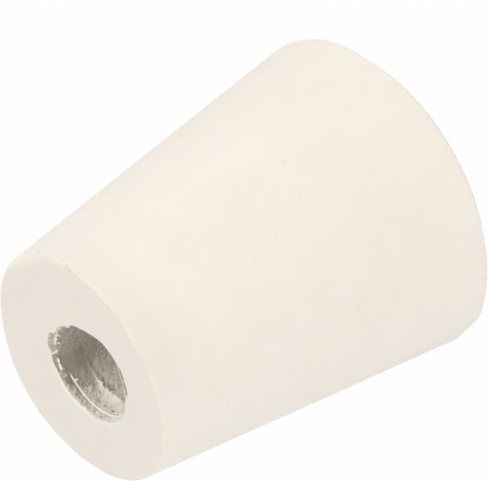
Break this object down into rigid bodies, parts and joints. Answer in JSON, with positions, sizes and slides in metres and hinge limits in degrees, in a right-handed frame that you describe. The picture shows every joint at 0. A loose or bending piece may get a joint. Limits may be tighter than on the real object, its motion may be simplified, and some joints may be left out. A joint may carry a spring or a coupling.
{
  "type": "rubber stopper",
  "caption": "Tapered rubber lab stopper with slightly rounded edges and a drilled through hole, slightly off centre, with an oval, stepped mouth at the small end.",
  "frame": {"origin": "middle of the large end's face, on which the stopper stands", "axes": "+Z along the stopper's axis towards its small end, +X the way the hole stands off the axis"},
  "size_m": [0.024, 0.024, 0.027],
  "materials": {
    "cream_rubber": "matte moulded cream-white rubber, faintly grained, with rough drilled walls in the hole"
  },
  "bodies": {
    "root": {"stopper": "cream_rubber"}
  },
  "joints": []
}
